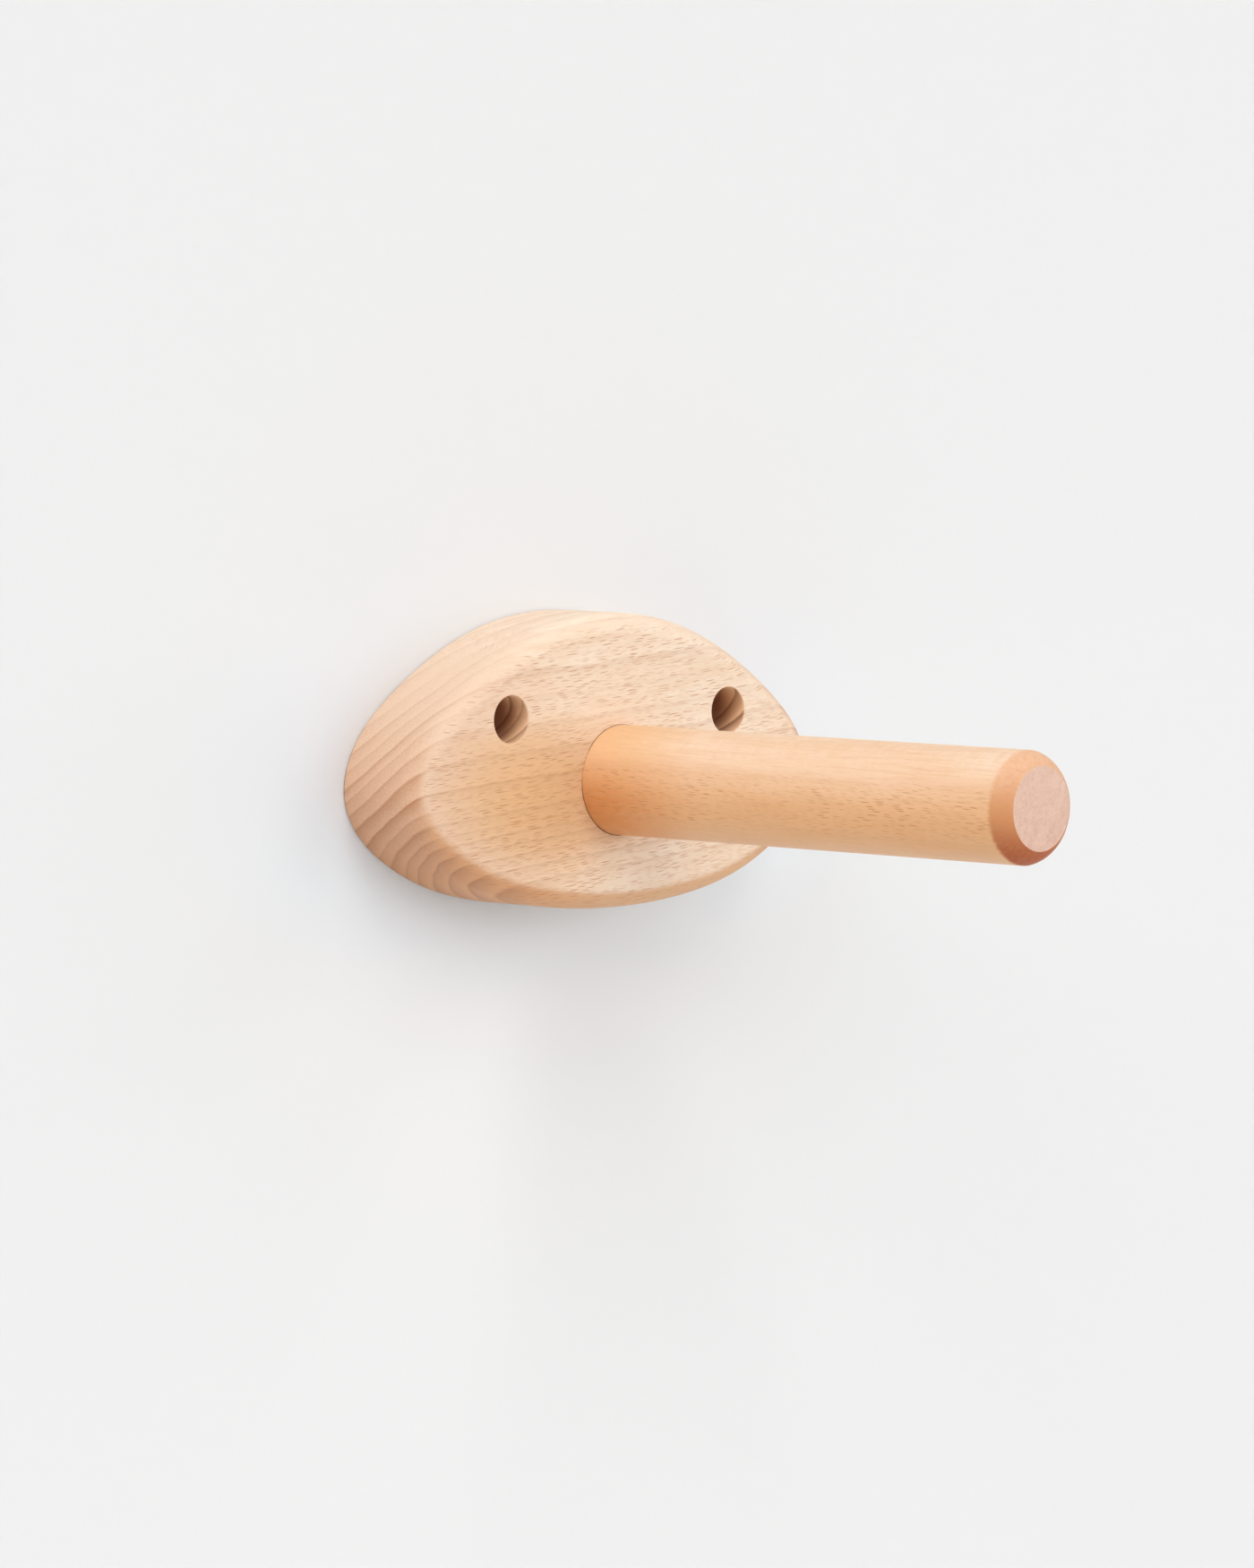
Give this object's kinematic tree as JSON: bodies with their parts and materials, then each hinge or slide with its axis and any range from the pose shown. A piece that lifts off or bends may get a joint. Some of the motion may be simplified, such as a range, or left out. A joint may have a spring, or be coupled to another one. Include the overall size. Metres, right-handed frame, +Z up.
{
  "type": "wall peg holder",
  "caption": "Wall-mounted beech holder: one long round peg standing straight out of a thick pebble-shaped backplate, screwed to the wall through deep counterbored holes.",
  "frame": {"origin": "on the wall plane (the backplate's flat back face), on the peg's axis", "axes": "-Y out of the wall along the peg towards the room, +Z up, +X to the right seen from the room"},
  "size_m": [0.146, 0.2004, 0.0752],
  "materials": {
    "plate_beech": "fine-sanded beech with a matt clear oil",
    "peg_beech": "fine-sanded turned beech with a matt clear oil",
    "zinc_screw": "bright zinc-plated steel"
  },
  "bodies": {
    "root": {"backplate": "plate_beech", "peg": "peg_beech", "peg_screw": "zinc_screw", "wall_screw_left": "zinc_screw", "wall_screw_right": "zinc_screw"}
  },
  "joints": []
}
